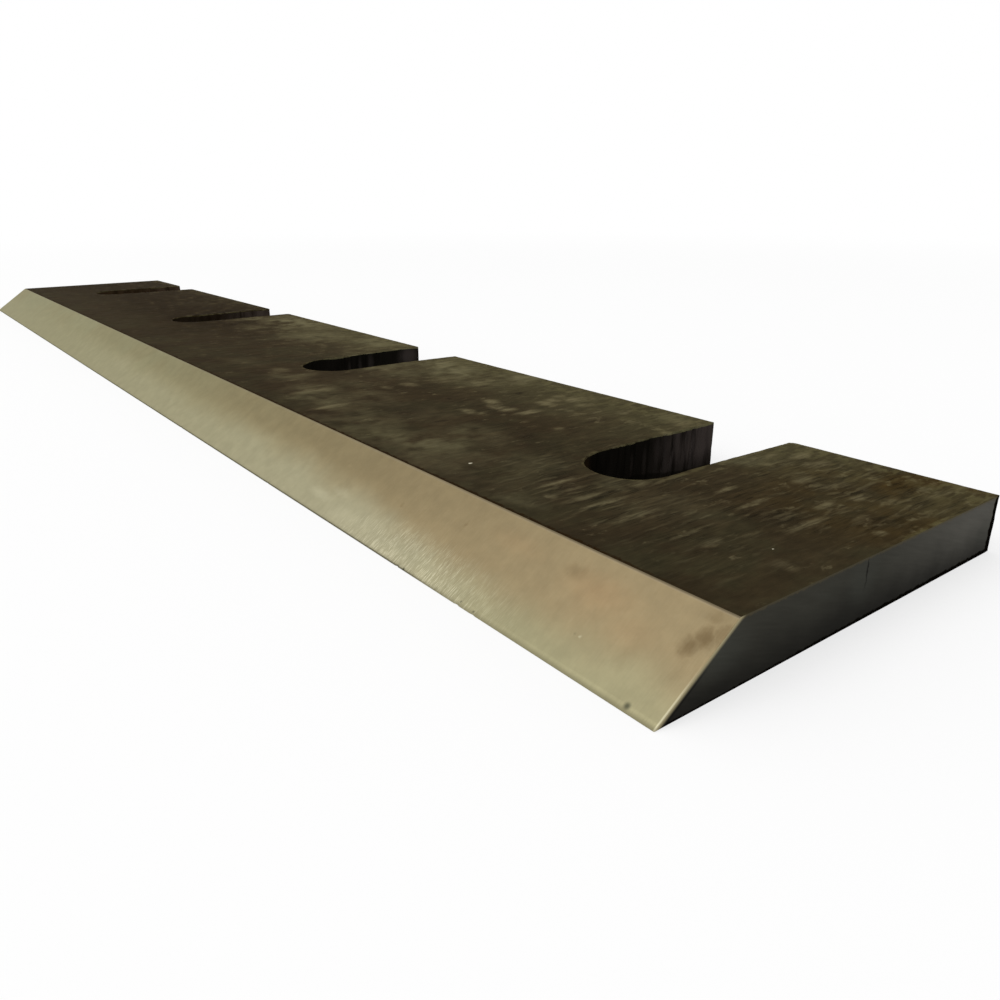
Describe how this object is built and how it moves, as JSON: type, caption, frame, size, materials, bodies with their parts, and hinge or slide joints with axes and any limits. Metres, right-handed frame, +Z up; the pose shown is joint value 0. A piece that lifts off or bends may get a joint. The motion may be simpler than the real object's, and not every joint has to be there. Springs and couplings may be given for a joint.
{
  "type": "planer knife",
  "caption": "Flat steel planer knife with a long ground cutting bevel on one side and open round-ended slots in its back edge for clamping bolts.",
  "frame": {"origin": "centre of the flat bottom face's bounding box: midway along the length and midway between the cutting edge and the back edge", "axes": "+X along the knife, +Y from the cutting edge to the back edge, +Z up through the thickness; the ground bevel faces -Y and up"},
  "size_m": [0.457, 0.082, 0.01],
  "materials": {
    "tool_steel": "dark oiled mill-brown flats with cross-ground lines, and a bright ground bevel"
  },
  "bodies": {
    "root": {"knife": "tool_steel"}
  },
  "joints": []
}
